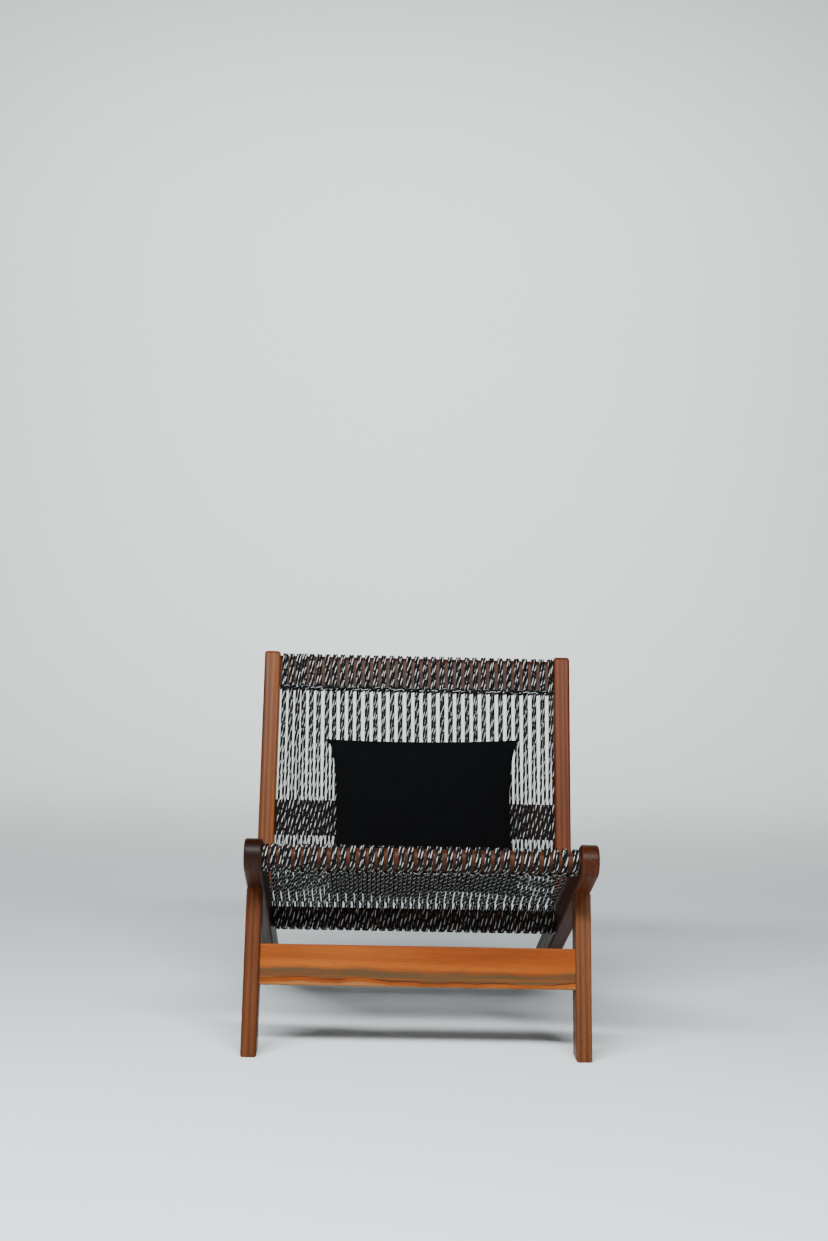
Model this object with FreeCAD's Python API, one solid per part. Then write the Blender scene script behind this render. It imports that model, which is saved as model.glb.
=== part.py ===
import FreeCAD
import Part

import math
import os

# Low lounge chair: a wooden frame whose seat and back are strung with braided rope.
# Millimetres. X is across the chair, -Y is the front, +Z is up, the origin is on the
# floor under the middle of the chair.

Vector = FreeCAD.Vector

# Overall sizes
overall_width = 700.0
overall_depth = 890.0
back_height = 793.0

# Side rails, one plank each from the nose at the front to the floor at the back
side_thickness = 36.0
side_depth = 66.0
nose_height = 434.0
side_easing = 5.0
side_end_height = 43.0
side_end_easing = 12.0

# Back posts, which stand on the side rails
post_thickness = 36.0
post_depth = 60.0
back_lean = 15.3
post_front = 427.0
post_easing = 6.0
post_tip_easing = 9.0

# Front legs, which carry the side rails
leg_thickness = 32.0
leg_depth = 58.0
leg_rake = 14.4
leg_foot = 38.0
leg_easing = 5.0

# Front stretcher between the legs
stretcher_height = 81.0
stretcher_thickness = 24.0
stretcher_middle = 172.0
stretcher_setback = 6.0
stretcher_easing = 3.0

# Cross rails that hold the rope
front_rail_height = 36.0
front_rail_depth = 54.0
rear_rail_height = 44.0
rear_rail_thickness = 30.0
rear_rail_drop = 5.2
top_rail_height = 70.0
top_rail_thickness = 28.0
top_rail_drop = 13.0
back_rail_setback = 15.0
rail_easing = 6.0

# Lumbar rail, a plain board behind the back rope
lumbar_height = 79.0
lumbar_thickness = 20.0
lumbar_middle = 418.0
lumbar_setback = 30.0
lumbar_easing = 3.0

# Rope: doubled strands side by side, each pair of cords drawn as one tube. The tube runs
# out and back without a break, and the strands end just inside the frame
rope_diameter = 8.0
strand_count = 34
end_share = 0.2
rope_rest = 0.2
hook_run = 10.0

# Dowels that pin the joints
dowel_diameter = 10.0
dowel_clearance = 0.1
dowel_in_side = 20.0
dowel_in_rail = 30.0
dowel_spacing_share = 0.5
foot_dowel_length = 50.0

# Lumbar pillow
pillow_width = 434.0
pillow_length = 345.0
pillow_thickness = 112.0
pillow_draw = 22.0
pillow_sag = 7.0
pillow_rest = 0.5
pillow_lift = 14.0
pillow_aside = 16.0
pillow_level_shares = (0.0, 0.3, 0.6, 0.82, 0.95, 1.0)
pillow_size_shares = (1.0, 0.965, 0.86, 0.68, 0.45, 0.2)

# The side view: y runs back from the nose, z up from the floor
nose_y = -overall_depth / 2
lean = math.radians(back_lean)
rake = math.radians(leg_rake)
rope_radius = rope_diameter / 2
rope_offset = rope_radius + rope_rest
inner_width = overall_width - 2 * side_thickness
post_inner_width = overall_width - 2 * post_thickness
leg_inner_width = overall_width - 2 * leg_thickness


def point(y, z):
    """A point of the side view, in the middle plane of the chair."""
    return Vector(0, y, z)


def cross(a, along_a, b, along_b):
    """Where two lines of the side view meet."""
    gap = b - a
    turn = along_a.y * along_b.z - along_a.z * along_b.y
    reach = (gap.y * along_b.z - gap.z * along_b.y) / turn
    return a + along_a * reach


def facing(direction):
    """The direction a quarter turn forward of an upward direction."""
    return Vector(0, -direction.z, direction.y)


# The side rail's slope: its top runs from the nose's round to the top of its rear end
nose_radius = side_depth / 2
nose_centre = point(nose_y + nose_radius, nose_height - nose_radius)
side_end = point(nose_y + overall_depth, side_end_height)
side_reach = side_end - nose_centre
slope = math.atan2(-side_reach.z, side_reach.y) + math.asin(nose_radius / side_reach.Length)

# Directions in the side view
side_down = Vector(0, math.cos(slope), -math.sin(slope))
side_up = Vector(0, math.sin(slope), math.cos(slope))
back_up = Vector(0, math.sin(lean), math.cos(lean))
back_front = facing(back_up)
leg_up = Vector(0, math.sin(rake), math.cos(rake))
leg_front = facing(leg_up)
across = Vector(1, 0, 0)
level = Vector(0, 1, 0)

# Lines of the side view that pieces share
side_top = nose_centre + side_up * nose_radius
side_bottom = nose_centre - side_up * nose_radius
post_face = cross(point(nose_y + post_front, 0), Vector(0, 0, 1), side_top, side_down)
post_foot = cross(post_face, back_up, side_top, side_down)
leg_toe = point(nose_y + leg_foot, 0)


def flat_in_x(edge):
    """Whether an edge lies in one plane across the chair."""
    box = edge.BoundBox
    return box.XLength < box.DiagonalLength / 2


def plank(outline, middle, thickness, easing):
    """A plank cut to a side view outline, with its edges eased along both faces."""
    face = Part.Face(outline)
    face.translate(across * (middle - thickness / 2))
    solid = face.extrude(across * thickness)
    return solid.makeFillet(easing, [edge for edge in solid.Edges if flat_in_x(edge)])


every_corner = (0, 1, 2, 3)


def polygon(points):
    """A closed wire through points of the side view."""
    return Part.makePolygon(list(points) + [points[0]])


def corner_arc(before, corner, after, radius):
    """The start, crown and end of the arc that rounds a corner."""
    back = (before - corner).normalize()
    on = (after - corner).normalize()
    half = back.getAngle(on) / 2
    reach = radius / math.tan(half)
    inward = (back + on).normalize()
    return (corner + back * reach, corner + inward * (radius / math.sin(half) - radius),
            corner + on * reach)


def rounded(points, radius, corners):
    """A closed wire through points whose named corners are round."""
    count = len(points)
    turns = []
    for i, here in enumerate(points):
        if i in corners:
            turns.append(corner_arc(points[i - 1], here, points[(i + 1) % count], radius))
        else:
            turns.append((here, here, here))
    edges = []
    for i, turn in enumerate(turns):
        if i in corners:
            edges.append(Part.Arc(*turn).toShape())
        edges.append(Part.LineSegment(turn[2], turns[(i + 1) % count][0]).toShape())
    return Part.Wire(edges)


def oblong(centre, up, front, height, depth):
    """The four corners of a cross rail's section, from the front foot round to the back foot."""
    rise = up * (height / 2)
    reach = front * (depth / 2)
    return [centre - rise + reach, centre + rise + reach, centre + rise - reach, centre - rise - reach]


def bullnose(centre, nose, side, length, width):
    """A section whose nose end is a half circle and whose other end is square."""
    tip = centre + nose * (length / 2)
    root = centre - nose * (length / 2)
    reach = side * (width / 2)
    shoulder = tip - nose * (width / 2)
    edges = [
        Part.Arc(shoulder + reach, tip, shoulder - reach).toShape(),
        Part.LineSegment(shoulder - reach, root - reach).toShape(),
        Part.LineSegment(root - reach, root + reach).toShape(),
        Part.LineSegment(root + reach, shoulder + reach).toShape(),
    ]
    return Part.Wire(edges)


def bar(section, length):
    """A cross rail: its section run across the chair."""
    face = Part.Face(section)
    face.translate(across * (-length / 2))
    return face.extrude(across * length)


def dowel(middle, direction, before, after, extra):
    """A dowel, or with extra its bore, from before a joint to after it."""
    start = middle - direction * (before + extra)
    return Part.makeCylinder((dowel_diameter + extra) / 2, before + after + 2 * extra, start, direction)


def paired(middle, along, height):
    """The two dowel centres of a joint, spread along its height."""
    step = along * (height * dowel_spacing_share / 2)
    return [middle - step, middle + step]


def rail_pins(centre, along, height, width, extra):
    """Dowels at both ends of a cross rail."""
    pins = []
    for side in (-1, 1):
        for spot in paired(centre, along, height):
            joint = spot + across * (side * width / 2)
            pins.append(dowel(joint, across * side, dowel_in_rail, dowel_in_side, extra))
    return pins


def foot_pins(start, end, direction, middle, extra):
    """Dowels up through the end of a leg or post, on both sides of the chair."""
    pins = []
    half = foot_dowel_length / 2
    for side in (-1, 1):
        centre = (start + end) * 0.5
        run = end - start
        for spot in paired(centre, run * (1 / run.Length), run.Length):
            joint = spot + across * (side * middle)
            pins.append(dowel(joint, direction, half, half, extra))
    return pins


# Cross rail centres
front_rail_centre = nose_centre + side_down * ((front_rail_depth - front_rail_height) / 2)
rear_line = post_foot - back_front * (back_rail_setback + rear_rail_thickness / 2)
rear_rail_centre = cross(rear_line, back_up, nose_centre, side_down) - back_up * rear_rail_drop
top_rail_z = back_height - top_rail_drop - top_rail_height * back_up.z / 2
top_line = post_foot - back_front * (back_rail_setback + top_rail_thickness / 2)
top_rail_centre = top_line + back_up * ((top_rail_z - top_line.z) / back_up.z)
lumbar_line = post_foot - back_front * (lumbar_setback + lumbar_thickness / 2)
lumbar_centre = lumbar_line + back_up * ((lumbar_middle - lumbar_line.z) / back_up.z)

# Front leg, from the floor to the underside of the side rail
leg_head = cross(leg_toe, leg_up, side_bottom, side_down)
leg_heel = leg_toe + level * (leg_depth / math.cos(rake))
leg_nape = cross(leg_heel, leg_up, side_bottom, side_down)
stretcher_line = leg_toe - leg_front * (stretcher_setback + stretcher_thickness / 2)
stretcher_centre = stretcher_line + leg_up * ((stretcher_middle - stretcher_line.z) / leg_up.z)

# Back post, from the top of the side rail to its rounded tip
post_heel = cross(post_foot - back_front * post_depth, back_up, side_top, side_down)
post_tip = post_foot + back_up * ((back_height - post_foot.z) / back_up.z)
post_nape = cross(post_heel, back_up, post_tip, -back_front)

# All bores, cut from whatever they pass through
rail_joints = [
    (front_rail_centre, side_down, front_rail_depth, inner_width),
    (rear_rail_centre, back_up, rear_rail_height, inner_width),
    (lumbar_centre, back_up, lumbar_height, post_inner_width),
    (top_rail_centre, back_up, top_rail_height, post_inner_width),
]
stretcher_joint = (stretcher_centre, leg_up, stretcher_height, leg_inner_width)
post_joint = (post_foot, post_heel, back_up, (overall_width - post_thickness) / 2)
leg_joint = (leg_head, leg_nape, leg_up, (overall_width - leg_thickness) / 2)


def all_pins(extra):
    """Every dowel, or with extra every bore, by the node it belongs to."""
    rails = [pin for joint in rail_joints for pin in rail_pins(*joint, extra)]
    return {
        "rail_dowels": rails,
        "stretcher_dowels": rail_pins(*stretcher_joint, extra),
        "post_dowels": foot_pins(*post_joint, extra),
        "leg_dowels": foot_pins(*leg_joint, extra),
    }


def bored(solid):
    """A wooden piece with the bores that reach it."""
    for group in all_pins(dowel_clearance).values():
        for bore in group:
            if bore.BoundBox.intersect(solid.BoundBox):
                solid = solid.cut(bore)
    return solid


def side_rail(side):
    """A side rail: round nose, straight plank, flat foot on the floor."""
    floor = point(0, 0)
    crown = nose_centre - side_down * nose_radius
    sole = cross(side_bottom, side_down, floor, level)
    heel = point(side_end.y, 0)
    tip = corner_arc(side_top, side_end, heel, side_end_easing)
    edges = [
        Part.Arc(side_bottom, crown, side_top).toShape(),
        Part.LineSegment(side_top, tip[0]).toShape(),
        Part.Arc(*tip).toShape(),
        Part.LineSegment(tip[2], heel).toShape(),
        Part.LineSegment(heel, sole).toShape(),
        Part.LineSegment(sole, side_bottom).toShape(),
    ]
    middle = side * (overall_width - side_thickness) / 2
    return bored(plank(Part.Wire(edges), middle, side_thickness, side_easing))


def front_leg(side):
    """A front leg, raked forward, with its top cut to the side rail."""
    outline = polygon([leg_toe, leg_head, leg_nape, leg_heel])
    middle = side * (overall_width - leg_thickness) / 2
    return bored(plank(outline, middle, leg_thickness, leg_easing))


def back_post(side):
    """A back post, leaned back, with its foot cut to the side rail."""
    outline = rounded([post_foot, post_tip, post_nape, post_heel], post_tip_easing, (1, 2))
    middle = side * (overall_width - post_thickness) / 2
    return bored(plank(outline, middle, post_thickness, post_easing))


def front_stretcher():
    """The board between the front legs."""
    section = oblong(stretcher_centre, leg_up, leg_front, stretcher_height, stretcher_thickness)
    return bored(bar(rounded(section, stretcher_easing, every_corner), leg_inner_width))


def lumbar_rail():
    """The plain board behind the back rope."""
    section = oblong(lumbar_centre, back_up, back_front, lumbar_height, lumbar_thickness)
    return bored(bar(rounded(section, lumbar_easing, every_corner), post_inner_width))


def seat_front_rail():
    """The rail at the nose: its front edge is half round."""
    section = bullnose(front_rail_centre, -side_down, side_up, front_rail_depth, front_rail_height)
    return bored(bar(section, inner_width))


def seat_rear_rail():
    """The rail at the foot of the back: it holds the seat rope and the back rope."""
    section = oblong(rear_rail_centre, back_up, back_front, rear_rail_height, rear_rail_thickness)
    return bored(bar(rounded(section, rail_easing, every_corner), inner_width))


def top_rail():
    """The rail at the top of the back: its top edge is half round."""
    section = bullnose(top_rail_centre, back_up, back_front, top_rail_height, top_rail_thickness)
    return bored(bar(section, post_inner_width))


# Rope routes
strand_pitch = inner_width / (strand_count + end_share)
corner_turn = rail_easing + rope_offset
joined_edges = 2
compared_edges = 15


def arc(start, through, end):
    """One arc of a rope's route."""
    return Part.Arc(start, through, end).toShape()


def run(start, end):
    """One straight run of a rope's route."""
    return Part.LineSegment(start, end).toShape()


def hook(start, end, outward):
    """A half turn that leads from one strand to the next."""
    middle = (start + end) * 0.5
    return arc(start, middle + outward * ((end - start).Length / 2), end)


def bend(centre, radius, first, last):
    """An arc around a rail's edge, from one outward direction to the next."""
    through = (first + last).normalize()
    return (centre + first * radius, centre + through * radius, centre + last * radius)


def turn_edge(turn, shift, backwards):
    """The edge of a turn in a strand's own plane."""
    start, through, end = [spot + shift for spot in turn]
    return arc(end, through, start) if backwards else arc(start, through, end)


def seat_turns():
    """The seat rope's side view: hook, front turn, strand, rear turn, hook."""
    front_centre = nose_centre
    front_radius = front_rail_height / 2 + rope_offset
    rear_corner = (rear_rail_centre + back_up * (rear_rail_height / 2 - rail_easing)
                   - back_front * (rear_rail_thickness / 2 - rail_easing))
    gap = rear_corner - front_centre
    tilt = math.asin((front_radius - corner_turn) / gap.Length)
    heading = math.atan2(gap.z, gap.y) - tilt
    strand = Vector(0, math.cos(heading), math.sin(heading))
    out = Vector(0, -strand.z, strand.y)
    front = (front_centre - side_up * front_radius, front_centre - side_down * front_radius,
             front_centre + out * front_radius)
    rear = bend(rear_corner, corner_turn, out, -back_front)
    return front, rear, side_down, -back_up


def back_turns():
    """The back rope's side view: hook, top turn, strand, foot turn, hook."""
    top_centre = top_rail_centre + back_up * ((top_rail_height - top_rail_thickness) / 2)
    top_radius = top_rail_thickness / 2 + rope_offset
    foot_corner = (rear_rail_centre - back_up * (rear_rail_height / 2 - rail_easing)
                   + back_front * (rear_rail_thickness / 2 - rail_easing))
    front_reach = foot_corner + back_front * corner_turn
    top_front = top_centre + back_front * top_radius
    top = (top_centre - back_front * top_radius, top_centre + back_up * top_radius, top_front)
    foot = bend(foot_corner, corner_turn, (top_front - front_reach).cross(-across).normalize(), -back_up)
    return top, foot, -back_up, -back_front


def strung(turns, first_x):
    """The centre line of a panel's rope: every strand, joined by hooks at both ends."""
    head, foot, head_tail, foot_tail = turns
    edges = []
    for i in range(strand_count):
        shift = across * (first_x + i * strand_pitch)
        backwards = i % 2 == 1
        head_end = head[0] + head_tail * hook_run + shift
        foot_end = foot[2] + foot_tail * hook_run + shift
        strand = [
            run(head_end, head[0] + shift),
            turn_edge(head, shift, False),
            run(head[2] + shift, foot[0] + shift),
            turn_edge(foot, shift, False),
            run(foot[2] + shift, foot_end),
        ]
        if backwards:
            strand = [
                run(foot_end, foot[2] + shift),
                turn_edge(foot, shift, True),
                run(foot[0] + shift, head[2] + shift),
                turn_edge(head, shift, True),
                run(head[0] + shift, head_end),
            ]
        edges.extend(strand)
        if i < strand_count - 1:
            spot = head_end if backwards else foot_end
            tail = head_tail if backwards else foot_tail
            edges.append(hook(spot, spot + across * strand_pitch, tail))
    return Part.Wire(edges)


def least_gap(wire):
    """The least clear gap between two strands of one rope, measured on points."""
    spots = []
    for number, edge in enumerate(wire.Edges):
        steps = max(2, int(edge.Length / rope_diameter))
        spots.extend((number, spot) for spot in edge.discretize(steps))
    least = None
    for i, (number, spot) in enumerate(spots):
        for other_number, other in spots[i + 1:]:
            if not joined_edges < other_number - number < compared_edges:
                continue
            reach = (other - spot).Length
            if least is None or reach < least:
                least = reach
    return least - rope_diameter


def tube(wire, name):
    """A rope: a round tube along its centre line."""
    start = wire.Edges[0]
    tangent = start.tangentAt(start.FirstParameter)
    origin = start.valueAt(start.FirstParameter)
    circle = Part.Wire(Part.makeCircle(rope_radius, origin, tangent))
    shell = Part.BRepOffsetAPI.MakePipeShell(wire)
    shell.add(circle)
    shell.build()
    shell.makeSolid()
    solid = shell.shape()
    expected = math.pi * rope_radius ** 2 * wire.Length
    print(name, "length", round(wire.Length), "volume share", round(solid.Volume / expected, 4),
          "least gap", round(least_gap(wire), 2))
    return solid


def seat_rope():
    """The seat panel, strung between the front rail and the rear rail."""
    first = -(strand_count - 1) * strand_pitch / 2 - strand_pitch / 4
    return tube(strung(seat_turns(), first), "seat_rope")


def back_rope():
    """The back panel, its strands between those of the seat where they cross."""
    first = -(strand_count - 1) * strand_pitch / 2 + strand_pitch / 4
    return tube(strung(back_turns(), first), "back_rope")


def pillow_outline(centre, size, rise):
    """One level of the pillow: four edges that draw in between the corners."""
    half_width = pillow_width * size / 2
    half_length = pillow_length * size / 2
    base = centre + back_front * rise
    corners = [base + across * (x * half_width) + back_up * (z * half_length)
               for x, z in ((-1, -1), (1, -1), (1, 1), (-1, 1))]
    edges = []
    for i, corner in enumerate(corners):
        other = corners[(i + 1) % 4]
        middle = (corner + other) * 0.5
        depth = (pillow_sag if i % 2 == 0 else pillow_draw) * size
        inward = (base - middle).normalize()
        edges.append(Part.Arc(corner, middle + inward * depth, other).toShape())
    return Part.Wire(edges)


def pillow():
    """The lumbar pillow: crowned on both faces, leaning on the back rope."""
    seat_front, seat_rear, _, _ = seat_turns()
    back_top, back_foot, _, _ = back_turns()
    strand = back_top[2] - back_foot[0]
    corner = cross(back_foot[0], strand, seat_front[2], seat_rear[0] - seat_front[2])
    half = pillow_thickness / 2
    centre = (corner + across * pillow_aside + back_front * (rope_radius + pillow_rest + half)
              + back_up * (rope_diameter + pillow_lift + pillow_length / 2))
    levels = [(-rise, size) for rise, size in zip(pillow_level_shares, pillow_size_shares)][:0:-1]
    levels += list(zip(pillow_level_shares, pillow_size_shares))
    wires = [pillow_outline(centre, size, rise * half) for rise, size in levels]
    return Part.makeLoft(wires, True, True)


def build():
    """Every piece of the chair by its node name."""
    pieces = {
        "left_side_rail": side_rail(-1),
        "right_side_rail": side_rail(1),
        "left_front_leg": front_leg(-1),
        "right_front_leg": front_leg(1),
        "left_back_post": back_post(-1),
        "right_back_post": back_post(1),
        "front_stretcher": front_stretcher(),
        "seat_front_rail": seat_front_rail(),
        "seat_rear_rail": seat_rear_rail(),
        "lumbar_rail": lumbar_rail(),
        "top_rail": top_rail(),
        "seat_rope": seat_rope(),
        "back_rope": back_rope(),
        "lumbar_pillow": pillow(),
    }
    for name, group in all_pins(0).items():
        pieces[name] = Part.makeCompound(group)
    return pieces


os.makedirs("parts", exist_ok=True)
for name, shape in build().items():
    shape.exportStep("parts/" + name + ".step")
    box = shape.BoundBox
    print(name, len(shape.Solids), shape.isValid(), round(shape.Volume),
          [round(v, 1) for v in (box.XMin, box.YMin, box.ZMin, box.XMax, box.YMax, box.ZMax)])
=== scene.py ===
import math

import bpy
import numpy as np
from mathutils import Matrix, Vector


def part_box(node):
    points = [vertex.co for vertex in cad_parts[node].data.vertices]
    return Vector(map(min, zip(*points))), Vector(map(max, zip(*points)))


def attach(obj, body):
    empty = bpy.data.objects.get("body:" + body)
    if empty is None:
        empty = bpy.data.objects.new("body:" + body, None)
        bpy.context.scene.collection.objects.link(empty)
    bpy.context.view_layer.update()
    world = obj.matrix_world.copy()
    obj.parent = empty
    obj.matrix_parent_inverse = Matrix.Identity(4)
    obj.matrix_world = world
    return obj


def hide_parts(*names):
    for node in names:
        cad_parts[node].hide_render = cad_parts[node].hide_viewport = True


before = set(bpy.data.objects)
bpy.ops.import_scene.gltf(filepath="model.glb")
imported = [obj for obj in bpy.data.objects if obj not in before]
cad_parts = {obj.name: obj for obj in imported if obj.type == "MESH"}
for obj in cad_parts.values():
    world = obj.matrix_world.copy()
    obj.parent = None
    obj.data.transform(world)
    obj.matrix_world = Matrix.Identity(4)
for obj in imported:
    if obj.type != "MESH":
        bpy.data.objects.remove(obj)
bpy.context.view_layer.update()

scene = bpy.context.scene
rng = np.random.default_rng(11)

# Side view of the chair, in metres, as the CAD source has it
overall_width, overall_depth, back_height = 0.700, 0.890, 0.793
side_thickness, side_depth, nose_height, side_end_height = 0.036, 0.066, 0.434, 0.043
back_lean, post_front, back_rail_setback = 15.3, 0.427, 0.015
front_rail_height = 0.036
rear_rail_height, rear_rail_thickness, rear_rail_drop = 0.044, 0.030, 0.0052
top_rail_height, top_rail_thickness, top_rail_drop = 0.070, 0.028, 0.013
rail_easing = 0.006
leg_rake = 14.4
strand_count = 34
end_share = 0.2

# Rope as it looks: pairs of thin cords, squeezed flat where the seat and the back cross
cord_radius = 0.0029
crossing_radii = (0.0021, 0.0027)
rail_radii = (0.0031, 0.0027)
flat_radius = 0.0036
squeeze_share = 0.025
rope_rest = 0.0002
pair_reach, spread_reach, crossing_reach, hook_reach = 0.00295, 0.0046, 0.0022, 0.0031
seat_head_run, back_head_run, foot_run = 0.026, 0.046, 0.008
cord_sides = 10
foot_hook_points, head_hook_points = 9, 11
level_limit = 0.2
ring_step = 0.005
turn_step = 0.0026
tracer_pitch, fleck_pitch = 0.030, 0.0175
cord_swell = 0.04

# How the pairs crowd towards the left post, and how unevenly they lie
crowding, crowding_reach, thinning = 0.19, 5.5, 0.02
even_unrest, left_unrest, left_unrest_reach = 0.0005, 0.0016, 5
top_unrest, foot_unrest = 0.0011, 0.0001
stretch_range, drift_limit = (0.86, 1.16), 0.7
feet_follow, top_hold, gather_share = 0.5, 0.8, 0.03

lean, rake = math.radians(back_lean), math.radians(leg_rake)
nose_y = -overall_depth / 2
nose_radius = side_depth / 2
nose_centre = Vector((0, nose_y + nose_radius, nose_height - nose_radius))
side_reach = Vector((0, nose_y + overall_depth, side_end_height)) - nose_centre
slope = math.atan2(-side_reach.z, side_reach.y) + math.asin(nose_radius / side_reach.length)
side_down = Vector((0, math.cos(slope), -math.sin(slope)))
side_up = Vector((0, math.sin(slope), math.cos(slope)))
back_up = Vector((0, math.sin(lean), math.cos(lean)))
back_front = Vector((0, -math.cos(lean), math.sin(lean)))
leg_up = Vector((0, math.sin(rake), math.cos(rake)))
across = Vector((1, 0, 0))
side_top = nose_centre + side_up * nose_radius
post_foot = side_top + side_down * ((nose_y + post_front - side_top.y) / side_down.y)
inner_width = overall_width - 2 * side_thickness
strand_pitch = inner_width / (strand_count + end_share)


def at_height(line_point, z):
    """The point of a line along the back at a given height."""
    return line_point + back_up * ((z - line_point.z) / back_up.z)


def meeting(a, along_a, b, along_b):
    """Where two lines of the side view meet."""
    gap = b - a
    turn = along_a.y * along_b.z - along_a.z * along_b.y
    return a + along_a * ((gap.y * along_b.z - gap.z * along_b.y) / turn)


rear_line = post_foot - back_front * (back_rail_setback + rear_rail_thickness / 2)
rear_rail_centre = meeting(rear_line, back_up, nose_centre, side_down) - back_up * rear_rail_drop
top_rail_z = back_height - top_rail_drop - top_rail_height * back_up.z / 2
top_rail_line = post_foot - back_front * (back_rail_setback + top_rail_thickness / 2)
top_rail_centre = at_height(top_rail_line, top_rail_z)


# Rope routes
def arc_points(centre, radius, first, last):
    """Points of an arc from one outward direction to another, the short way round."""
    angle = first.angle(last)
    steps = max(3, math.ceil(angle * radius / turn_step))
    axis = first.cross(last).normalized()
    return [centre + Matrix.Rotation(angle * i / steps, 3, axis) @ first * radius for i in range(steps + 1)]


def half_turn(centre, radius, first, middle):
    """Points of a half circle from first through middle."""
    return arc_points(centre, radius, first, middle)[:-1] + arc_points(centre, radius, middle, -first)


def seat_route():
    """The seat cord's side view: under the front rail, round its nose, back, and over the rear rail."""
    offset = cord_radius + rope_rest
    front_radius = front_rail_height / 2 + offset
    corner = (rear_rail_centre + back_up * (rear_rail_height / 2 - rail_easing)
              - back_front * (rear_rail_thickness / 2 - rail_easing))
    turn = rail_easing + offset
    gap = corner - nose_centre
    heading = math.atan2(gap.z, gap.y) - math.asin((front_radius - turn) / gap.length)
    out = Vector((0, -math.sin(heading), math.cos(heading)))
    head = (arc_points(nose_centre, front_radius, -side_up, -side_down)[:-1]
            + arc_points(nose_centre, front_radius, -side_down, out))
    foot = arc_points(corner, turn, out, -back_front)
    return head, foot, side_down * seat_head_run, -back_up * foot_run


def back_route():
    """The back cord's side view: up behind the top rail, over it, down, and under the rear rail."""
    offset = cord_radius + rope_rest
    top_centre = top_rail_centre + back_up * ((top_rail_height - top_rail_thickness) / 2)
    corner = (rear_rail_centre - back_up * (rear_rail_height / 2 - rail_easing)
              + back_front * (rear_rail_thickness / 2 - rail_easing))
    turn = rail_easing + offset
    head = half_turn(top_centre, top_rail_thickness / 2 + offset, -back_front, back_up)
    out = (head[-1] - (corner + back_front * turn)).cross(-across).normalized()
    foot = arc_points(corner, turn, out, -back_up)
    return head, foot, -back_up * back_head_run, -back_front * foot_run


def resample(points, step):
    """Points along a broken line at even steps, its own points kept."""
    result = []
    for a, b in zip(points, points[1:]):
        count = max(1, round((b - a).length / step))
        result += [a.lerp(b, i / count) for i in range(count)]
    return np.array([tuple(p) for p in result + [points[-1]]])


def crowded(places, left, right):
    """Even places across the chair, moved so that they crowd towards the left post."""
    grid = np.linspace(0, 1, 201)
    density = 1 - crowding * np.exp(-(grid * crowding_reach) ** 2) + thinning * grid
    run = np.concatenate([[0], np.cumsum((density[1:] + density[:-1]) / 2)])
    share = np.interp((places - places[0]) / (places[-1] - places[0]), grid, run / run[-1])
    return left + (right - left) * share


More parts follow.
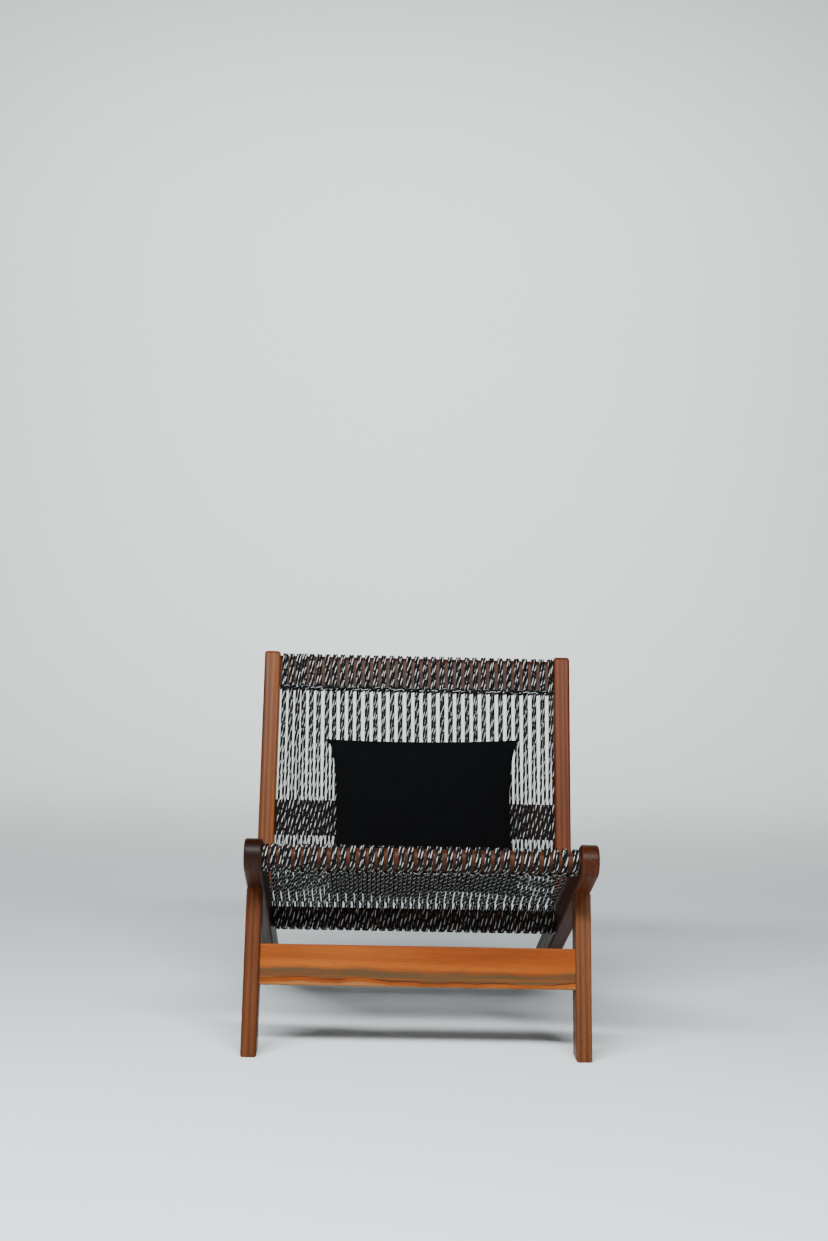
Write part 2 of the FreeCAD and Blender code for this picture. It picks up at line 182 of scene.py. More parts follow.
class Panel:
    """One strung panel: where each pair of cords runs, and the single line that they make."""

    def __init__(self, route, side, ends, spread_places, flat_shares, crossing, foot_reach, foot_radii):
        self.head, self.foot, self.head_run, self.foot_run = route
        line = [self.head[0] + self.head_run] + self.head + self.foot + [self.foot[-1] + self.foot_run]
        self.line = resample(line, ring_step)
        steps = np.linalg.norm(np.diff(self.line, axis=0), axis=1)
        run = np.concatenate([[0], np.cumsum(steps)])
        self.share = run / run[-1]
        self.top_share = self.share_of(self.head[-1])
        self.foot_share = self.share_of(self.foot[0])
        even = (np.arange(strand_count) - (strand_count - 1) / 2 + side / 4) * strand_pitch
        moved = crowded(even, *ends)
        unrest = even_unrest + left_unrest * np.exp(-np.linspace(0, left_unrest_reach, strand_count) ** 2)
        self.low = moved + rng.uniform(-1, 1, strand_count) * unrest
        self.high = self.low + rng.uniform(-top_unrest, top_unrest, strand_count)
        self.feet = even + feet_follow * (moved - even) + rng.uniform(-foot_unrest, foot_unrest, strand_count)
        self.spread_places = spread_places
        self.flat_shares = flat_shares
        self.crossing = crossing
        self.foot_reach = foot_reach
        self.foot_radii = foot_radii

    def share_of(self, place):
        return self.share[np.argmin(np.linalg.norm(self.line - np.array(place), axis=1))]

    def middle(self, pair):
        """The pair's middle across the chair, at each point of the line."""
        low_share = self.top_share + gather_share * (self.foot_share - self.top_share)
        knots = (0, self.top_share * top_hold, low_share, self.foot_share, 1)
        values = (self.high[pair], self.high[pair], self.low[pair], self.feet[pair], self.feet[pair])
        return np.interp(self.share, knots, values)

    def reach(self):
        """Half the distance between a pair's cords, at each point of the line."""
        span = self.foot_share - self.top_share
        knots = [self.top_share + span * place for place in self.spread_places]
        values = [pair_reach, pair_reach, spread_reach, spread_reach]
        knots += [self.crossing[0] - squeeze_share, *self.crossing, 1]
        values += [spread_reach, crossing_reach, crossing_reach, self.foot_reach, self.foot_reach]
        return np.interp(self.share, knots, values)

    def cord(self):
        """The centre line through every strand and hook, with each point's strand number and share."""
        reach = self.reach()
        points, strands, shares = [], [], []
        for number in range(2 * strand_count):
            pair, member = divmod(number, 2)
            strand = self.line.copy()
            strand[:, 0] += self.middle(pair) + reach * (2 * member - 1)
            share = self.share
            if member:
                strand, share = strand[::-1], share[::-1]
            if points:
                tail = np.array((self.foot_run if member else self.head_run).normalized())
                start, end = points[-1][-1], strand[0]
                half = (end - start) / 2
                angle = np.linspace(0, math.pi, foot_hook_points if member else head_hook_points)[1:-1, None]
                bend = start + half - half * np.cos(angle) + tail * np.linalg.norm(half) * np.sin(angle)
                points.append(bend)
                strands.append(np.full(len(bend), number))
                shares.append(np.full(len(bend), share[0]))
            points.append(strand)
            strands.append(np.full(len(strand), number))
            shares.append(share)
        return np.concatenate(points), np.concatenate(strands), np.concatenate(shares)

    def build(self, name):
        """The panel's piece: round cord, wide and flat where the strands lie dense or cross."""
        points, strands, shares = self.cord()
        knots = (*self.flat_shares, self.crossing[0] - squeeze_share, *self.crossing)
        radii = [np.interp(shares, knots, (cord_radius, flat, flat, tight, tight, loose))
                 for flat, tight, loose in zip((flat_radius, cord_radius), crossing_radii, self.foot_radii)]
        steps = np.concatenate([[0], np.linalg.norm(np.diff(points, axis=0), axis=1)])
        stretch = rng.uniform(*stretch_range, 2 * strand_count)
        drift = rng.uniform(-drift_limit, drift_limit, 2 * strand_count)
        along = np.cumsum(steps / stretch[strands])
        round_it = np.cumsum(steps * drift[strands])
        return swept(name, points, radii, cord_sides, along, round_it)


def mesh_object(name, verts, faces, uvs=None):
    """A smooth object from points and faces, in the scene's own collection."""
    mesh = bpy.data.meshes.new(name)
    mesh.from_pydata([tuple(v) for v in verts], [], [tuple(f) for f in faces])
    mesh.update()
    if uvs is not None:
        layer = mesh.uv_layers.new(name="strand")
        layer.data.foreach_set("uv", np.asarray(uvs, np.float32).ravel())
    mesh.polygons.foreach_set("use_smooth", [True] * len(mesh.polygons))
    obj = bpy.data.objects.new(name, mesh)
    scene.collection.objects.link(obj)
    return obj


def swept(name, points, radii, sides, along, round_it):
    """A cord: rings carried along a line without twisting, upright wherever it runs up or down."""
    tangent = np.gradient(points, axis=0)
    tangent /= np.linalg.norm(tangent, axis=1)[:, None]
    normal = np.array(across) - tangent[0] * tangent[0][0]
    normals = []
    for t in tangent:
        normal = normal - t * (normal @ t)
        if abs(t[0]) < level_limit:
            upright = np.array(across) - t * t[0]
            normal = upright if upright @ normal > 0 else -upright
        normal = normal / np.linalg.norm(normal)
        normals.append(normal)
    normals = np.array(normals)
    sideways = np.cross(tangent, normals)
    angle = np.arange(sides) / sides * 2 * math.pi
    swell = 1 + cord_swell * np.sin(2 * math.pi * along / (tracer_pitch / 2))
    wide, tall = np.array(radii) * swell
    verts = (points[:, None, :]
             + normals[:, None, :] * (wide[:, None] * np.cos(angle))[:, :, None]
             + sideways[:, None, :] * (tall[:, None] * np.sin(angle))[:, :, None]).reshape(-1, 3)
    rings = len(points)
    i, j = np.meshgrid(np.arange(rings - 1), np.arange(sides), indexing="ij")
    k = (j + 1) % sides
    near, far = i * sides, (i + 1) * sides
    quads = np.stack([near + j, near + k, far + k, far + j], -1).reshape(-1, 4)
    u0, u1 = along[i], along[i + 1]
    a0, a1 = j / sides + round_it[i], j / sides + round_it[i + 1]
    b0, b1 = (j + 1) / sides + round_it[i], (j + 1) / sides + round_it[i + 1]
    uvs = np.stack([u0, a0, u0, b0, u1, b1, u1, a1], -1).reshape(-1, 2)
    faces = [tuple(f) for f in quads.tolist()]
    faces.append(tuple(range(sides))[::-1])
    faces.append(tuple(range((rings - 1) * sides, rings * sides)))
    uvs = np.concatenate([uvs, np.zeros((2 * sides, 2))])
    return mesh_object(name, verts.tolist(), faces, uvs)


# Node helpers
class Nodes:
    """A material's node tree, with short calls for the nodes used here."""

    def __init__(self, name):
        self.material = bpy.data.materials.new(name)
        self.material.use_nodes = True
        self.tree = self.material.node_tree
        self.shader = self.tree.nodes["Principled BSDF"]

    def link(self, source, target):
        if isinstance(source, bpy.types.NodeSocket):
            self.tree.links.new(source, target)
        else:
            target.default_value = source

    def add(self, kind, **values):
        node = self.tree.nodes.new(kind)
        for key, value in values.items():
            setattr(node, key, value)
        return node

    def math(self, operation, a, b=0.0):
        node = self.add("ShaderNodeMath", operation=operation)
        for socket, value in zip(node.inputs, (a, b)):
            self.link(value, socket)
        return node.outputs[0]

    def coords(self, kind="Object"):
        return self.add("ShaderNodeTexCoord").outputs[kind]

    def mapped(self, vector, scale, rotation=(0, 0, 0), location=(0, 0, 0)):
        node = self.add("ShaderNodeMapping")
        self.link(vector, node.inputs["Vector"])
        node.inputs["Scale"].default_value = scale
        node.inputs["Rotation"].default_value = rotation
        node.inputs["Location"].default_value = location
        return node.outputs[0]

    def noise(self, vector, scale, detail=3.0, rough=0.5, distortion=0.0):
        node = self.add("ShaderNodeTexNoise")
        self.link(vector, node.inputs["Vector"])
        node.inputs["Scale"].default_value = scale
        node.inputs["Detail"].default_value = detail
        node.inputs["Roughness"].default_value = rough
        node.inputs["Distortion"].default_value = distortion
        return node.outputs["Fac"]

    def ramp(self, value, *stops):
        node = self.add("ShaderNodeValToRGB")
        self.link(value, node.inputs[0])
        elements = node.color_ramp.elements
        while len(elements) < len(stops):
            elements.new(0.5)
        for element, (place, colour) in zip(elements, stops):
            element.position = place
            element.color = (*colour, 1)
        return node.outputs[0]

    def range(self, value, low, high, to_low=0.0, to_high=1.0):
        node = self.add("ShaderNodeMapRange")
        for socket, item in zip(node.inputs, (value, low, high, to_low, to_high)):
            self.link(item, socket)
        return node.outputs[0]

    def mix(self, factor, a, b):
        node = self.add("ShaderNodeMix", data_type="RGBA")
        self.link(factor, node.inputs["Factor"])
        for socket, value in zip((node.inputs[6], node.inputs[7]), (a, b)):
            self.link((*value, 1) if isinstance(value, tuple) else value, socket)
        return node.outputs[2]

    def bump(self, height, strength, distance):
        node = self.add("ShaderNodeBump")
        node.inputs["Strength"].default_value = strength
        node.inputs["Distance"].default_value = distance
        self.link(height, node.inputs["Height"])
        self.link(node.outputs[0], self.shader.inputs["Normal"])

    def finish(self, colour, roughness):
        self.link(colour, self.shader.inputs["Base Color"])
        self.link(roughness, self.shader.inputs["Roughness"])
        return self.material


def grain_rotation(along):
    """Mapping angles that bring a direction onto X."""
    return along.to_track_quat("X", "Z").inverted().to_euler()


def wood(name, along, dark, middle, light, seed, streaks=0.0, end_dark=0.55, knot=None):
    """Oiled wood with its grain along a direction: growth bands, fibre and pores, darker end grain."""
    n = Nodes(name)
    rotation = grain_rotation(along)
    base = n.coords()
    turned = n.mapped(base, (1, 1, 1), rotation, (seed, seed * 0.7, -seed * 1.3))
    long_grain = n.mapped(turned, (1.6, 17, 17))
    bands = n.add("ShaderNodeTexWave", wave_type="BANDS", bands_direction="Y")
    n.link(n.mapped(turned, (0.9, 26, 18)), bands.inputs["Vector"])
    bands.inputs["Scale"].default_value = 1.0
    bands.inputs["Distortion"].default_value = 7.0
    bands.inputs["Detail"].default_value = 2.0
    bands.inputs["Detail Scale"].default_value = 1.2
    tone = n.noise(long_grain, 1.0, 4.0, 0.6, 0.4)
    fibre = n.noise(n.mapped(turned, (10, 420, 420)), 1.0, 2.0, 0.6)
    pores = n.noise(n.mapped(turned, (38, 900, 900)), 1.0, 1.0, 0.5)
    mixed = n.math("ADD", n.math("MULTIPLY", tone, 0.62), n.math("MULTIPLY", bands.outputs["Fac"], 0.20))
    mixed = n.math("ADD", mixed, n.math("MULTIPLY", fibre, 0.18))
    colour = n.ramp(mixed, (0.30, dark), (0.50, middle), (0.72, light))
    pore_mask = n.range(pores, 0.60, 0.72)
    colour = n.mix(n.math("MULTIPLY", pore_mask, 0.40), colour, tuple(v * 0.35 for v in dark))
    if streaks:
        colour = streaked(n, base, colour, dark, light, streaks)
    if knot:
        colour = knotted(n, base, colour, dark, *knot)
    normal = n.add("ShaderNodeVectorMath", operation="DOT_PRODUCT")
    n.link(n.coords("Normal"), normal.inputs[0])
    normal.inputs[1].default_value = along
    end = n.range(n.math("ABSOLUTE", normal.outputs["Value"]), 0.55, 0.95)
    speck = n.noise(n.mapped(turned, (90, 260, 260)), 1.0, 3.0, 0.7)
    end_colour = n.ramp(speck, (0.35, tuple(v * end_dark * 0.6 for v in dark)),
                        (0.7, tuple(v * end_dark * 1.1 for v in middle)))
    colour = n.mix(end, colour, end_colour)
    n.bump(n.math("ADD", n.math("MULTIPLY", fibre, 0.5), n.math("MULTIPLY", pores, -0.8)), 0.35, 0.0006)
    n.shader.inputs["Specular IOR Level"].default_value = 0.13
    return n.finish(colour, n.range(tone, 0.3, 0.7, 0.39, 0.56))


def streaked(n, base, colour, dark, light, strength):
    """Dark heartwood streaks along the lower half of the stretcher, with a lighter edge beneath."""
    place = n.add("ShaderNodeSeparateXYZ")
    n.link(base, place.inputs[0])
    wobble = n.noise(n.mapped(base, (6, 1, 1)), 1.0, 3.0, 0.6)
    height = n.math("ADD", place.outputs["Z"], n.math("MULTIPLY", n.math("SUBTRACT", wobble, 0.5), 0.030))
    inside = n.math("MULTIPLY", n.range(height, 0.145, 0.151), n.range(height, 0.172, 0.163))
    fine = n.noise(n.mapped(base, (5, 90, 230)), 1.0, 3.0, 0.65)
    streak = n.math("MULTIPLY", inside, n.range(fine, 0.34, 0.52, 0.45, 1.0))
    heartwood = (dark[0] * 0.36, dark[1] * 1.4, dark[2] * 15.0)
    colour = n.mix(n.math("MULTIPLY", streak, strength), colour, heartwood)
    line = n.math("ABSOLUTE", n.math("SUBTRACT", height, 0.1475))
    thread = n.math("MULTIPLY", n.range(line, 0.0022, 0.0008), n.range(fine, 0.25, 0.5))
    colour = n.mix(n.math("MULTIPLY", thread, 0.8), colour, tuple(v * 0.22 for v in dark))
    edge = n.range(height, 0.142, 0.137)
    return n.mix(n.math("MULTIPLY", edge, 0.65), colour, (light[0] * 0.98, light[1] * 1.8, light[2] * 8.5))


def knotted(n, base, colour, dark, centre, size):
    """A small dark knot with a soft ring."""
    offset = n.add("ShaderNodeVectorMath", operation="SUBTRACT")
    n.link(base, offset.inputs[0])
    offset.inputs[1].default_value = centre
    wobble = n.noise(base, 60.0, 2.0, 0.5)
    length = n.add("ShaderNodeVectorMath", operation="LENGTH")
    n.link(offset.outputs[0], length.inputs[0])
    unevenness = n.math("MULTIPLY", n.math("SUBTRACT", wobble, 0.5), size * 0.6)
    reach = n.math("ADD", length.outputs["Value"], unevenness)
    core = n.range(reach, size, size * 0.45)
    return n.mix(n.math("MULTIPLY", core, 0.85), colour, tuple(v * 0.20 for v in dark))


def rope_material(name, pale, grey, black, pale_half=0.10, grey_half=0.19):
    """Braided cord: pale flecks and grey yarn on black, in two bands that wind round it."""
    n = Nodes(name)
    uv = n.add("ShaderNodeUVMap", uv_map="strand")
    split = n.add("ShaderNodeSeparateXYZ")
    n.link(uv.outputs[0], split.inputs[0])
    u, v = split.outputs["X"], split.outputs["Y"]
    position = n.coords()
    waver = n.noise(position, 70.0, 2.0, 0.5)
    drift = n.math("MULTIPLY", n.math("SUBTRACT", waver, 0.5), 0.25)
    turns = n.math("SUBTRACT", n.math("DIVIDE", u, tracer_pitch), n.math("MULTIPLY", v, 2.0))
    turns = n.math("ADD", turns, drift)
    phase = n.math("ABSOLUTE", n.math("SUBTRACT", n.math("FRACT", turns), 0.5))
    stitch = n.math("SUBTRACT", n.math("DIVIDE", u, fleck_pitch), v)
    stitch = n.math("ADD", stitch, n.math("MULTIPLY", waver, 0.5))
    in_stitch = n.math("ABSOLUTE", n.math("SUBTRACT", n.math("FRACT", stitch), 0.5))
    shown = n.range(in_stitch, 0.40, 0.34)
    bright = n.math("MULTIPLY", n.range(phase, pale_half + 0.02, pale_half - 0.02), shown)
    dull = n.math("MULTIPLY", n.range(phase, grey_half + 0.02, grey_half - 0.02), shown)
    fuzz = n.noise(position, 900.0, 2.0, 0.6)
    colour = n.mix(dull, black, grey)
    colour = n.mix(bright, colour, n.mix(n.range(fuzz, 0.35, 0.7), pale, tuple(c * 0.7 for c in pale)))
    height = n.math("ADD", n.math("MULTIPLY", dull, 0.7), n.math("MULTIPLY", fuzz, 0.4))
    n.bump(height, 0.6, 0.0008)
    n.shader.inputs["Sheen Weight"].default_value = 0.015
    n.shader.inputs["Sheen Roughness"].default_value = 0.5
    n.shader.inputs["Specular IOR Level"].default_value = 0.1
    return n.finish(colour, 0.8)


def fabric_material(name, colour, dark):
    """Plain woven cloth: fine weave relief, faint mottling and a little sheen."""
    n = Nodes(name)
    position = n.coords()
    weave = []
    for direction in ("X", "Z"):
        wave = n.add("ShaderNodeTexWave", wave_type="BANDS", bands_direction=direction)
        n.link(position, wave.inputs["Vector"])
        wave.inputs["Scale"].default_value = 420.0
        wave.inputs["Distortion"].default_value = 0.6
        wave.inputs["Detail Scale"].default_value = 2.0
        weave.append(wave.outputs["Fac"])
    thread = n.math("MULTIPLY", *weave)
    mottle = n.noise(position, 28.0, 4.0, 0.6)
    tint = n.mix(n.range(mottle, 0.3, 0.7), dark, colour)
    tint = n.mix(n.math("MULTIPLY", thread, 0.35), tint, tuple(v * 1.8 for v in colour))
    n.bump(thread, 0.25, 0.0004)
    n.shader.inputs["Sheen Weight"].default_value = 0.008
    n.shader.inputs["Sheen Roughness"].default_value = 0.45
    n.shader.inputs["Specular IOR Level"].default_value = 0.05
    return n.finish(tint, 0.9)


# Wood of each plank, its grain along the plank
post = ((0.055, 0.0125, 0.0016), (0.117, 0.0310, 0.0047), (0.179, 0.0520, 0.0092))
far_post = ((0.041, 0.0074, 0.0009), (0.086, 0.0175, 0.0024), (0.131, 0.0290, 0.0050))
leg = ((0.038, 0.0094, 0.0021), (0.078, 0.0204, 0.0051), (0.114, 0.0324, 0.0092))
far_leg = ((0.044, 0.0124, 0.0032), (0.091, 0.0275, 0.0080), (0.133, 0.0440, 0.0145))
rail = ((0.011, 0.0026, 0.0006), (0.025, 0.0058, 0.0015), (0.045, 0.0108, 0.0030))
far_rail = ((0.021, 0.0042, 0.0007), (0.049, 0.0097, 0.0018), (0.088, 0.0180, 0.0036))
bare = ((0.022, 0.0052, 0.0013), (0.042, 0.0105, 0.0030), (0.063, 0.0170, 0.0055))
# rear: the wood tone darkened with painted shade, for the seat's rear rail and the lumbar rail, which sit in
# shade under the seat, the pillow and the back strands
rear = ((0.010, 0.0028, 0.0006), (0.021, 0.0058, 0.0014), (0.034, 0.0098, 0.0028))
orange = ((0.131, 0.0225, 0.0008), (0.195, 0.0390, 0.0016), (0.262, 0.0620, 0.0040))
nose_knot = {"end_dark": 1.1, "knot": ((0.338, -0.432, 0.425), 0.010)}
planks = {
    "left_back_post": (back_up, post, 1.3, {}),
    "right_back_post": (back_up, far_post, 2.9, {}),
    "left_front_leg": (leg_up, leg, 4.1, {}),
    "right_front_leg": (leg_up, far_leg, 5.7, {}),
    "left_side_rail": (side_down, rail, 6.2, {"end_dark": 0.62}),
    "right_side_rail": (side_down, far_rail, 7.8, nose_knot),
    "front_stretcher": (across, orange, 8.4, {"streaks": 0.9}),
    "seat_front_rail": (across, bare, 9.6, {}),
    # The seat's rear rail and the lumbar rail take the rear tone, with its painted shade
    "seat_rear_rail": (across, rear, 10.5, {}),
    "lumbar_rail": (across, rear, 11.1, {}),
    "top_rail": (across, bare, 12.4, {}),
}
for node, (along, tones, seed, extra) in planks.items():
    material = wood(node + "_wood", along, *tones, seed, **extra)
    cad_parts[node].material_slots[0].material = material
dowel_wood = wood("dowel_wood", across, (0.36, 0.23, 0.12), (0.50, 0.35, 0.20), (0.62, 0.46, 0.30), 3.3)
for node in ("rail_dowels", "stretcher_dowels", "post_dowels", "leg_dowels"):
    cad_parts[node].material_slots[0].material = dowel_wood

# Rope panels
cord = rope_material("braided_cord", (0.50, 0.49, 0.47), (0.026, 0.026, 0.026), (0.0022, 0.0021, 0.0022))
seat = Panel(seat_route(), side=-1, ends=(-0.3075, 0.3035), spread_places=(0.0, 0.02, 0.25, 0.80),
             flat_shares=(0.25, 0.5), crossing=(0.895, 0.93, 1.0),
             foot_reach=hook_reach, foot_radii=crossing_radii)
back = Panel(back_route(), side=1, ends=(-0.3045, 0.3070), spread_places=(0.0, 0.30, 0.52, 0.74),
             flat_shares=(0.70, 0.77), crossing=(0.89, 0.92, 0.945),
             foot_reach=spread_reach, foot_radii=rail_radii)
for panel, name, node in ((seat, "seat_strands", "seat_rope"), (back, "back_strands", "back_rope")):
    piece = panel.build(name)
    piece.data.materials.append(cord)
    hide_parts(node)
    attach(piece, "frame")


# The twined line under the top rail: two cords that wind round each pair in turn
twine_radius, twine_depth, twine_rise = 0.0030, 0.0060, 0.0030
twine_steps, twine_overhang, twine_softness, twine_offset = 12, 0.4, 0.12, 0.007


def twined(name, places, level, forward, upward, material):
    """Two cords, one before and one behind each pair, that change places between pairs."""
    last = strand_count - 1
    index = np.arange(-twine_steps * twine_overhang, (last + twine_overhang) * twine_steps) / twine_steps
    before, after = index < 0, index > last
    spots = np.interp(index, np.arange(strand_count), places)
    spots[before] = places[0] + index[before] * strand_pitch
    spots[after] = places[-1] + (index[after] - last) * strand_pitch
    wave = np.cos(math.pi * index)
    wave = wave / np.sqrt(wave ** 2 + twine_softness) * math.sqrt(1 + twine_softness)
    lift = np.sin(math.pi * index)
    for number, sign in enumerate((1, -1)):
        line = (np.array(level) + spots[:, None] * np.array(across)
                + (sign * twine_depth * wave)[:, None] * np.array(forward)
                + (sign * twine_rise * lift)[:, None] * np.array(upward))
        steps = np.linalg.norm(np.diff(line, axis=0), axis=1)
        along = np.concatenate([[0], np.cumsum(steps)]) + twine_offset * number
        radii = np.full((2, len(line)), twine_radius)
        piece = swept("%s_%d" % (name, number + 1), line, radii, cord_sides, along, along * 0)
        piece.data.materials.append(material)
        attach(piece, "frame")


# The twine's cord is a darker copy of the braided cord: real cord, with painted shade for the shade under the
# top rail
twine_with_painted_shade = rope_material("twine_cord_painted_shade", (0.42, 0.42, 0.41), (0.015, 0.015, 0.015), (0.0022, 0.0022, 0.0024),
                      pale_half=0.07, grey_half=0.12)
strand_top, strand_foot = back.head[-1], back.foot[0]
strand_run = (strand_top - strand_foot).normalized()
twine_drop = 0.0045
rail_foot = top_rail_centre - back_up * (top_rail_height / 2 + twine_drop)
twine_level = strand_top + strand_run * ((rail_foot.z - strand_top.z) / strand_run.z)
twined("top_twine", back.low, twine_level, back_front, back_up, twine_with_painted_shade)


# Lumbar pillow
crown_power, foot_fullness = 0.56, 0.2


def pillow_form(place, size, draw, sag, drop, tilt, columns=72, rows=60):
    """A crowned cushion: two faces that meet in a sharp seam, sides that draw in between soft ears."""
    width, length, thickness = size
    verts, index = [], {}
    for side in (1, -1):
        for r in range(rows + 1):
            for c in range(columns + 1):
                rim = r in (0, rows) or c in (0, columns)
                if rim and side == -1:
                    index[side, r, c] = index[1, r, c]
                    continue
                a, b = -math.cos(math.pi * c / columns), -math.cos(math.pi * r / rows)
                x = a * (width / 2 - draw * (1 - abs(b) ** 3))
                z = b * (length / 2 - sag * (1 - a * a))
                z -= drop * max(0, -b)
                foot_power = crown_power if b > 0 else crown_power + foot_fullness * b
                crown = max(0, 1 - a * a) ** crown_power * max(0, 1 - b * b) ** foot_power
                index[side, r, c] = len(verts)
                x, z = x * math.cos(tilt) - z * math.sin(tilt), x * math.sin(tilt) + z * math.cos(tilt)
                verts.append(place + across * x + back_up * z + back_front * (side * crown * thickness / 2))
    faces = []
    for side in (1, -1):
        for r in range(rows):
            for c in range(columns):
                corners = ((r, c), (r, c + 1), (r + 1, c + 1), (r + 1, c))
                face = [index[side, row, column] for row, column in corners]
                faces.append(face[::-1] if side == 1 else face)
    return mesh_object("lumbar_cushion", verts, faces)


def read_verts(obj):
    coords = np.empty(len(obj.data.vertices) * 3, np.float32)
    obj.data.vertices.foreach_get("co", coords)
    return coords.reshape(-1, 3).astype(float)


def write_verts(obj, coords):
    obj.data.vertices.foreach_set("co", coords.astype(np.float32).ravel())
    obj.data.update()


def inflate(obj, cap, frames=20):
    """Blows the cushion up a little, moves no point further than the cap, and keeps the result."""
    start = read_verts(obj)
    modifier = obj.modifiers.new("Cloth", "CLOTH")
    settings = modifier.settings
    settings.quality = 7
    settings.mass = 0.3
    settings.tension_stiffness = 12
    settings.compression_stiffness = 12
    settings.shear_stiffness = 5
    settings.bending_stiffness = 0.4
    settings.use_pressure = True
    settings.uniform_pressure_force = 4.0
    settings.effector_weights.gravity = 0
    modifier.collision_settings.use_collision = False
    modifier.collision_settings.use_self_collision = False
    modifier.point_cache.frame_start, modifier.point_cache.frame_end = 1, frames
    for number in range(1, frames + 1):
        scene.frame_set(number)
    evaluated = obj.evaluated_get(bpy.context.evaluated_depsgraph_get())
    moved = np.array([v.co for v in evaluated.data.vertices]) - start
    obj.modifiers.remove(modifier)
    scene.frame_set(1)
    reach = np.linalg.norm(moved, axis=1)[:, None]
    write_verts(obj, start + moved * np.minimum(1, cap / np.maximum(reach, 1e-9)))


def settle(obj, place, outward, clearance):
    """Presses the cushion flat where it would sink into a surface, with a soft edge to the flat."""
    coords = read_verts(obj)
    outward = np.array(outward)
    height = (coords - np.array(place)) @ outward - clearance
    soft = 0.004
    pressed = soft * np.exp((np.minimum(height, soft) - soft) / (2 * soft)) * 0.5
    lifted = np.where(height < soft, np.maximum(pressed, height), height)
    write_verts(obj, coords + (lifted - height)[:, None] * outward)


pillow_width, pillow_length, pillow_thickness = 0.442, 0.345, 0.108
pillow_draw, pillow_sag, pillow_cap = 0.021, 0.006, 0.008
pillow_drop, pillow_tilt, pillow_clearance = 0.014, 0.9, 0.0005
cad_low, cad_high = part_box("lumbar_pillow")
pillow_place = (Vector(cad_low) + Vector(cad_high)) / 2
pillow = pillow_form(pillow_place, (pillow_width, pillow_length, pillow_thickness), pillow_draw, pillow_sag,
                     pillow_drop, math.radians(pillow_tilt))
inflate(pillow, pillow_cap)
back_normal = (strand_top - strand_foot).cross(-across).normalized()
seat_top, seat_foot = seat.head[-1], seat.foot[0]
seat_normal = (seat_foot - seat_top).cross(-across).normalized()
settle(pillow, strand_foot, back_normal, cord_radius + pillow_clearance)
settle(pillow, seat_foot, seat_normal, cord_radius + pillow_clearance)
smooth = pillow.modifiers.new("Smooth", "SUBSURF")
smooth.levels = smooth.render_levels = 1
cloth = fabric_material("pillow_cloth", (0.0018, 0.0018, 0.0020), (0.0011, 0.0011, 0.0013))
pillow.data.materials.append(cloth)
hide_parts("lumbar_pillow")
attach(pillow, "pillow")

# Wide floor, and a narrow backdrop that it sweeps up into, far behind
floor_verts, floor_faces = [], []
floor_front, floor_back, floor_half, backdrop_half, backdrop_top = -5.0, 4.5, 7.0, 5.0, 6.6
sweep_radius, taper = 3.5, 0.2
profile = [(floor_front, 0.0, floor_half), (floor_back - taper, 0.0, floor_half)]
profile.append((floor_back, 0.0, backdrop_half))
for angle in np.linspace(0.1, math.pi / 2, 14):
    reach, rise = sweep_radius * math.sin(angle), sweep_radius * (1 - math.cos(angle))
    profile.append((floor_back + reach, rise, backdrop_half))
profile.append((floor_back + sweep_radius, backdrop_top, backdrop_half))
for y, z, half in profile:
    floor_verts += [(-half, y, z), (half, y, z)]
for i in range(len(profile) - 1):
    floor_faces.append((2 * i, 2 * i + 1, 2 * i + 3, 2 * i + 2))
floor = mesh_object("floor", floor_verts, floor_faces)
paper = Nodes("paper")
speckle = paper.noise(paper.coords(), 3.0, 3.0, 0.6)
floor.data.materials.append(paper.finish(paper.mix(speckle, (0.77, 0.80, 0.80), (0.79, 0.82, 0.82)), 0.9))


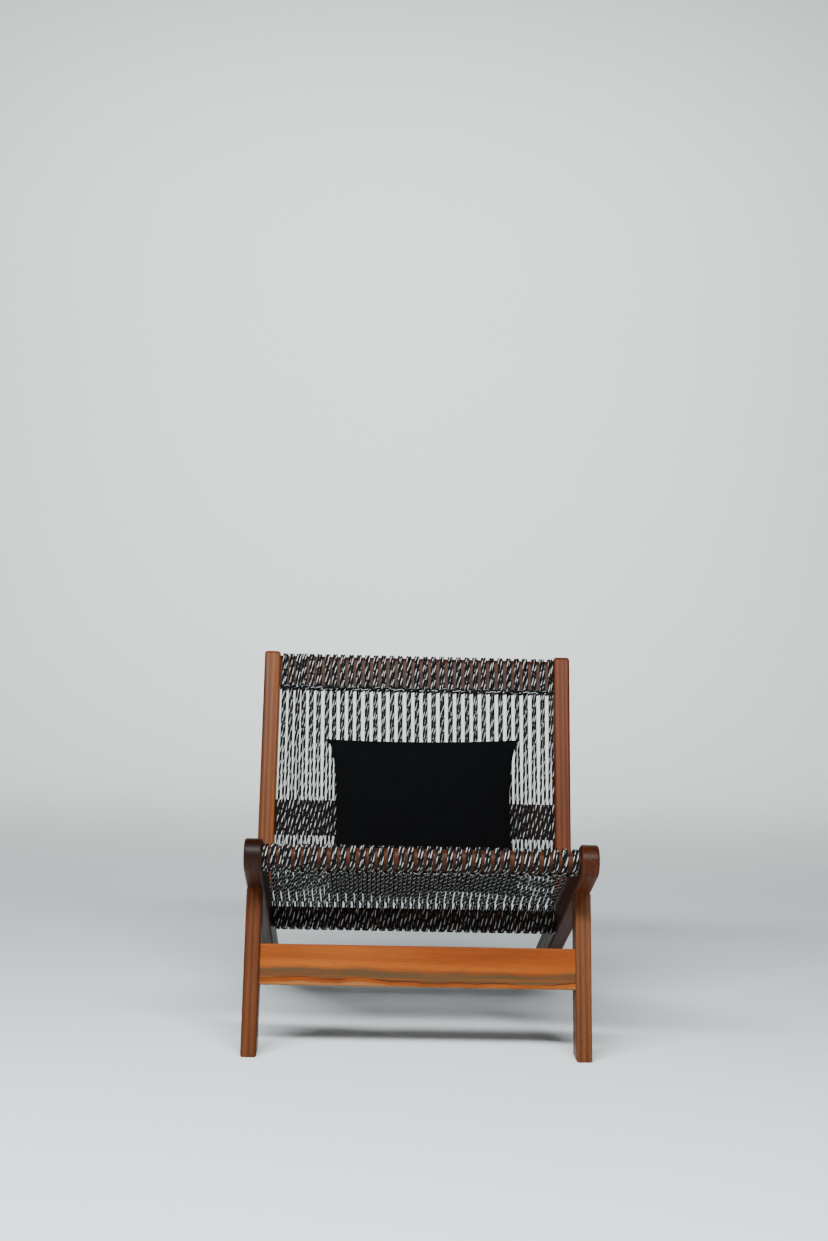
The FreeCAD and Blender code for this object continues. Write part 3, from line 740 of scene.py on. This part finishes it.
# Light and camera
def area_light(name, place, target, size, power, colour=(1, 1, 1)):
    data = bpy.data.lights.new(name, "AREA")
    data.color = colour
    data.shape, data.size, data.size_y, data.energy = "RECTANGLE", size[0], size[1], power
    light = bpy.data.objects.new(name, data)
    light.location = place
    light.rotation_mode = "QUATERNION"
    light.rotation_quaternion = (Vector(target) - Vector(place)).to_track_quat("-Z", "Y")
    light.visible_camera = False
    scene.collection.objects.link(light)


area_light("key", (-0.45, -2.35, 2.55), (0, -0.3, 0.15), (4.2, 0.35), 300, (0.94, 1.0, 1.03))
area_light("back", (0.8, 2.9, 2.7), (0, 0.2, 0.3), (1.6, 1.0), 4)
area_light("backdrop", (0, 4.4, 4.4), (0, 7.6, 1.25), (7.0, 1.0), 385)

# Pale studio walls low down around the chair, dark above
world = bpy.data.worlds.new("studio")
scene.world = world
world.use_nodes = True
sky = world.node_tree
direction = sky.nodes.new("ShaderNodeTexCoord")
height = sky.nodes.new("ShaderNodeSeparateXYZ")
sky.links.new(direction.outputs["Generated"], height.inputs[0])
level = sky.nodes.new("ShaderNodeMapRange")
level.interpolation_type = "SMOOTHSTEP"
pale_below, dark_above, pale_strength, dark_strength = 0.04, 0.26, 0.50, 0.008
for socket, value in zip(level.inputs[1:5], (pale_below, dark_above, pale_strength, dark_strength)):
    socket.default_value = value
sky.links.new(height.outputs["Z"], level.inputs[0])
sky.nodes["Background"].inputs[0].default_value = (0.93, 0.97, 1.0, 1)
sky.links.new(level.outputs[0], sky.nodes["Background"].inputs[1])

image_long_side = 1241
focal_pixels = 1689.3
camera_place = Vector((-0.1274, -3.7481, 0.8848))
yaw, pitch, roll = [math.radians(v) for v in (1.730, -0.242, 1.380)]
forward = Vector((math.sin(yaw) * math.cos(pitch), math.cos(yaw) * math.cos(pitch), math.sin(pitch)))
right = Vector((math.cos(yaw), -math.sin(yaw), 0))
up = right.cross(forward)
camera_right = right * math.cos(roll) + up * math.sin(roll)
camera_up = up * math.cos(roll) - right * math.sin(roll)
data = bpy.data.cameras.new("camera")
data.sensor_width = 36
data.lens = focal_pixels * data.sensor_width / image_long_side
camera = bpy.data.objects.new("camera", data)
turned = Matrix((camera_right, camera_up, -forward)).transposed().to_4x4()
camera.matrix_world = Matrix.Translation(camera_place) @ turned
scene.collection.objects.link(camera)
scene.camera = camera

bpy.context.view_layer.update()
